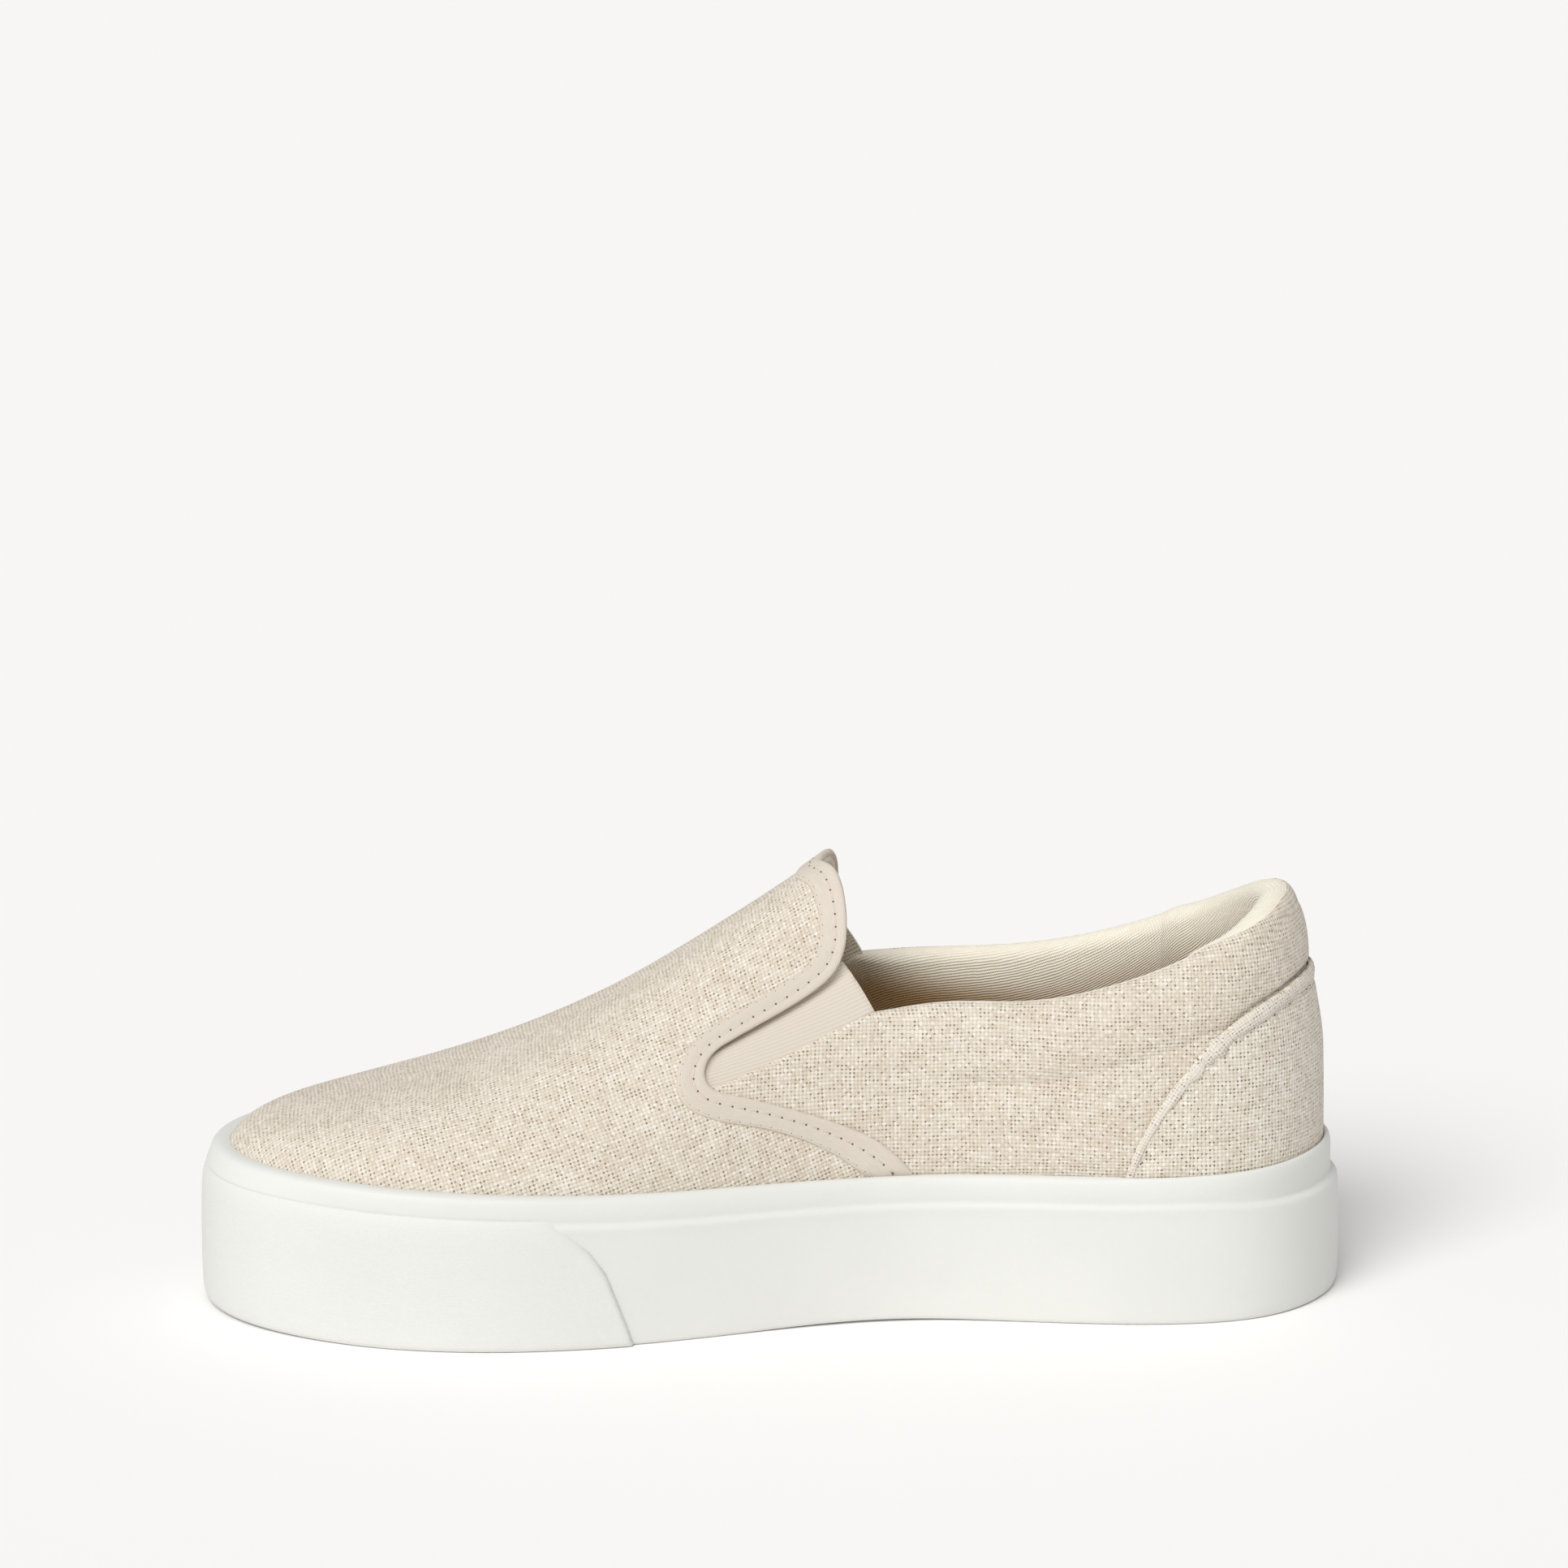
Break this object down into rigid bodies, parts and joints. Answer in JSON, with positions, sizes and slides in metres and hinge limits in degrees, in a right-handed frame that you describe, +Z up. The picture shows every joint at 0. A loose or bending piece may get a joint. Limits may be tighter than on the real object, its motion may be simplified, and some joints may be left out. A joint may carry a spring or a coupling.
{
  "type": "canvas slip-on sneaker",
  "caption": "Right-foot canvas slip-on sneaker with a padded collar, elastic side gores, taped vamp, heel counter and a thick two-step white rubber platform sole.",
  "frame": {"origin": "centre of the bounding box at the floor that the sole stands on", "axes": "+X runs from heel to toe, +Y towards the inner (medial) side of this right shoe, +Z up"},
  "size_m": [0.2758, 0.103, 0.1071],
  "materials": {
    "canvas": "natural linen-look basket weave with slubs, matt",
    "canvas_counter": "the same basket weave on the heel counter, with a turned edge",
    "tape": "smooth pale beige twill tape, stitched along both edges",
    "elastic": "woven elastic with fine slanting ribs",
    "lining": "cream twill lining cloth over thin foam",
    "white_rubber": "white vulcanised rubber, satin, smooth",
    "tread_rubber": "white rubber, satin, grooved across"
  },
  "bodies": {
    "root": {"upper": "canvas", "heel_counter": "canvas_counter", "vamp_tape_medial": "tape", "vamp_tape_lateral": "tape", "gore_medial": "elastic", "gore_lateral": "elastic", "insole": "lining", "foxing": "white_rubber", "toe_bumper": "white_rubber", "outsole": "tread_rubber"}
  },
  "joints": []
}
